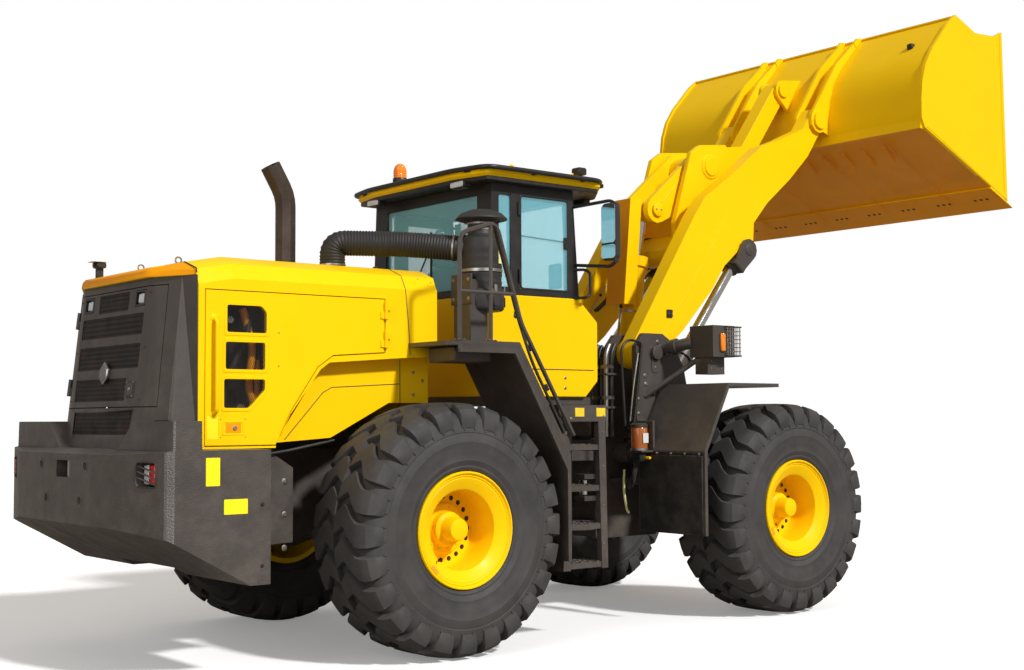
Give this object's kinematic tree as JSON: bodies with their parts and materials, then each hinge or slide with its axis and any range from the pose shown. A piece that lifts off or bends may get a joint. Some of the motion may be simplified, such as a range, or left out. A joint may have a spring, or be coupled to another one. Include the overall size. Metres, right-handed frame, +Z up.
{
  "type": "wheel loader",
  "caption": "Articulated wheel loader with a raised boom and bucket, enclosed cab, rear engine hood and lugged tyres.",
  "frame": {"origin": "on the ground under the middle of the whole machine's length and width", "axes": "+X forward towards the bucket, +Y to the machine's left, +Z up"},
  "size_m": [8.71, 3.34, 5.37],
  "materials": {
    "yellow_paint": "gloss",
    "grey_paint": "semi-gloss",
    "black_paint": "satin",
    "chrome": "polished",
    "steel": "bare",
    "glass": "tinted",
    "hose": "satin",
    "plastic": "matte",
    "seat": "woven",
    "tyre": "matte"
  },
  "bodies": {
    "rear_body": {"rear_frame": "grey_paint", "counterweight": "grey_paint", "engine_block": "grey_paint", "transmission": "grey_paint", "propshaft_centre": "black_paint", "hood": "yellow_paint", "cowl": "grey_paint", "rear_axle": "grey_paint", "exhaust_stack": "black_paint", "intake_hose": "hose", "air_cleaner": "black_paint", "hood_cap": "yellow_paint", "cab_body": "yellow_paint", "cab_frame": "black_paint", "cab_roof": "yellow_paint", "window_right": "glass", "window_rear": "glass", "windscreen": "glass", "seat": "seat", "steering_console": "plastic", "platform_right": "grey_paint", "platform_left": "grey_paint"},
    "front_body": {"front_frame": "grey_paint", "front_tower_right": "grey_paint", "front_tower_left": "grey_paint", "front_axle": "grey_paint", "propshaft_front": "black_paint", "front_fender_right": "grey_paint", "front_fender_left": "grey_paint"},
    "boom": {"boom": "yellow_paint"},
    "lever_pin": {"lever_pin": "steel"},
    "bellcrank": {"bellcrank": "yellow_paint"},
    "bucket_pins": {"bucket_pin_right": "steel", "bucket_pin_left": "steel"},
    "bucket": {"bucket": "yellow_paint"},
    "link_pin": {"link_pin": "steel"},
    "bucket_link": {"bucket_link": "yellow_paint"},
    "tilt_barrel": {"tilt_cylinder_barrel": "yellow_paint"},
    "tilt_rod": {"tilt_cylinder_rod": "chrome"},
    "grille_door": {"grille_door": "grey_paint"},
    "cab_door": {"cab_door_left": "black_paint"},
    "rear_right_wheel": {"tyre_rear_right": "tyre", "rim_rear_right": "yellow_paint"},
    "rear_left_wheel": {"tyre_rear_left": "tyre", "rim_rear_left": "yellow_paint"},
    "front_right_wheel": {"tyre_front_right": "tyre", "rim_front_right": "yellow_paint"},
    "front_left_wheel": {"tyre_front_left": "tyre", "rim_front_left": "yellow_paint"},
    "lift_barrel_right": {"lift_cylinder_barrel_right": "grey_paint"},
    "steer_barrel_right": {"steer_cylinder_barrel_right": "grey_paint"},
    "lift_rod_right": {"lift_cylinder_rod_right": "chrome"},
    "steer_rod_right": {"steer_cylinder_rod_right": "chrome"},
    "hood_door_right": {"hood_door_right": "yellow_paint"},
    "lift_barrel_left": {"lift_cylinder_barrel_left": "grey_paint"},
    "steer_barrel_left": {"steer_cylinder_barrel_left": "grey_paint"},
    "lift_rod_left": {"lift_cylinder_rod_left": "chrome"},
    "steer_rod_left": {"steer_cylinder_rod_left": "chrome"},
    "hood_door_left": {"hood_door_left": "yellow_paint"}
  },
  "joints": [
    {"name": "steer", "type": "hinge", "parent": "rear_body", "child": "front_body", "pos_m": [-0.41, 0, 1.05], "axis": [0, 0, 1], "range_deg": [-35, 35]},
    {"name": "rear_right_wheel_spin", "type": "hinge", "parent": "rear_body", "child": "rear_right_wheel", "pos_m": [-2.135, -1.19, 0.87], "axis": [0, 1, 0], "continuous": true},
    {"name": "rear_left_wheel_spin", "type": "hinge", "parent": "rear_body", "child": "rear_left_wheel", "pos_m": [-2.135, 1.19, 0.87], "axis": [0, 1, 0], "continuous": true},
    {"name": "front_right_wheel_spin", "type": "hinge", "parent": "front_body", "child": "front_right_wheel", "pos_m": [1.315, -1.19, 0.87], "axis": [0, 1, 0], "continuous": true},
    {"name": "front_left_wheel_spin", "type": "hinge", "parent": "front_body", "child": "front_left_wheel", "pos_m": [1.315, 1.19, 0.87], "axis": [0, 1, 0], "continuous": true},
    {"name": "lift", "type": "hinge", "parent": "front_body", "child": "boom", "pos_m": [0.435, 0, 2.17], "axis": [0, -1, 0], "range_deg": [-76, 0]},
    {"name": "bucket_level", "type": "hinge", "parent": "boom", "child": "bucket_pins", "pos_m": [2.785, 0, 4.46], "axis": [0, -1, 0], "range_deg": [0, 101.8]},
    {"name": "tilt", "type": "hinge", "parent": "bucket_pins", "child": "bucket", "pos_m": [2.785, 0, 4.46], "axis": [0, 1, 0], "range_deg": [-38, 23]},
    {"name": "bellcrank_level", "type": "hinge", "parent": "boom", "child": "lever_pin", "pos_m": [1.615, 0, 3.93], "axis": [0, -1, 0], "range_deg": [-49.8, 0]},
    {"name": "bellcrank_tilt", "type": "hinge", "parent": "lever_pin", "child": "bellcrank", "pos_m": [1.615, 0, 3.93], "axis": [0, -1, 0], "range_deg": [-19.8, 12]},
    {"name": "link_level", "type": "hinge", "parent": "bucket", "child": "link_pin", "pos_m": [2.845, 0, 4.85], "axis": [0, -1, 0], "range_deg": [-78.25, 0]},
    {"name": "link_tilt", "type": "hinge", "parent": "link_pin", "child": "bucket_link", "pos_m": [2.845, 0, 4.85], "axis": [0, -1, 0], "range_deg": [-30.45, 18.45]},
    {"name": "tilt_barrel_swing", "type": "hinge", "parent": "front_body", "child": "tilt_barrel", "pos_m": [0.725, 0, 1.75], "axis": [0, -1, 0], "range_deg": [-66, 0]},
    {"name": "tilt_rod_slide", "type": "slide", "parent": "tilt_barrel", "child": "tilt_rod", "axis": [0.1589, 0, 0.9873], "range_m": [-0.1152, 0.1902]},
    {"name": "lift_barrel_right_swing", "type": "hinge", "parent": "front_body", "child": "lift_barrel_right", "pos_m": [0.315, -0.5, 1.33], "axis": [0, -1, 0], "range_deg": [-60.05, 0]},
    {"name": "lift_rod_right_slide", "type": "slide", "parent": "lift_barrel_right", "child": "lift_rod_right", "axis": [0.6226, 0, 0.7826], "range_m": [-0.9175, 0]},
    {"name": "steer_barrel_right_swing", "type": "hinge", "parent": "rear_body", "child": "steer_barrel_right", "pos_m": [-1.16, -0.58, 1.05], "axis": [0, 0, 1], "range_deg": [-9, 9]},
    {"name": "steer_rod_right_slide", "type": "slide", "parent": "steer_barrel_right", "child": "steer_rod_right", "axis": [0.9809, 0.1944, 0], "range_m": [-0.26, 0.26]},
    {"name": "hood_door_right_swing", "type": "hinge", "parent": "rear_body", "child": "hood_door_right", "pos_m": [-2.432, -0.965, 2], "axis": [0, 0, 1], "range_deg": [0, 75]},
    {"name": "lift_barrel_left_swing", "type": "hinge", "parent": "front_body", "child": "lift_barrel_left", "pos_m": [0.315, 0.5, 1.33], "axis": [0, -1, 0], "range_deg": [-60.05, 0]},
    {"name": "lift_rod_left_slide", "type": "slide", "parent": "lift_barrel_left", "child": "lift_rod_left", "axis": [0.6226, 0, 0.7826], "range_m": [-0.9175, 0]},
    {"name": "steer_barrel_left_swing", "type": "hinge", "parent": "rear_body", "child": "steer_barrel_left", "pos_m": [-1.16, 0.58, 1.05], "axis": [0, 0, 1], "range_deg": [-9, 9]},
    {"name": "steer_rod_left_slide", "type": "slide", "parent": "steer_barrel_left", "child": "steer_rod_left", "axis": [0.9809, -0.1944, 0], "range_m": [-0.26, 0.26]},
    {"name": "hood_door_left_swing", "type": "hinge", "parent": "rear_body", "child": "hood_door_left", "pos_m": [-2.432, 0.965, 2], "axis": [0, 0, 1], "range_deg": [-75, 0]},
    {"name": "grille_door_swing", "type": "hinge", "parent": "rear_body", "child": "grille_door", "pos_m": [-4.02869, 0.72049, 1.86], "axis": [0.1099, -0.0352, 0.9933], "range_deg": [-95, 0]},
    {"name": "cab_door_swing", "type": "hinge", "parent": "rear_body", "child": "cab_door", "pos_m": [-1.118, 0.809, 2.6], "axis": [0, 0, 1], "range_deg": [0, 85]}
  ],
  "couplings": [
    {"joint": "bucket_level", "follows": "lift", "ratio": -1.339},
    {"joint": "bellcrank_level", "follows": "lift", "ratio": 0.655},
    {"joint": "bellcrank_tilt", "follows": "tilt", "ratio": 0.52},
    {"joint": "link_level", "follows": "lift", "ratio": 1.029},
    {"joint": "link_tilt", "follows": "tilt", "ratio": 0.8},
    {"joint": "tilt_barrel_swing", "follows": "lift", "ratio": 0.868},
    {"joint": "tilt_rod_slide", "follows": "tilt", "m_per_rad": -0.2865},
    {"joint": "lift_barrel_right_swing", "follows": "lift", "ratio": 0.79},
    {"joint": "lift_rod_right_slide", "follows": "lift", "m_per_rad": 0.6915},
    {"joint": "steer_barrel_right_swing", "follows": "steer", "ratio": 0.23},
    {"joint": "steer_rod_right_slide", "follows": "steer", "m_per_rad": 0.411},
    {"joint": "lift_barrel_left_swing", "follows": "lift", "ratio": 0.79},
    {"joint": "lift_rod_left_slide", "follows": "lift", "m_per_rad": 0.6915},
    {"joint": "steer_barrel_left_swing", "follows": "steer", "ratio": 0.23},
    {"joint": "steer_rod_left_slide", "follows": "steer", "m_per_rad": -0.411}
  ]
}
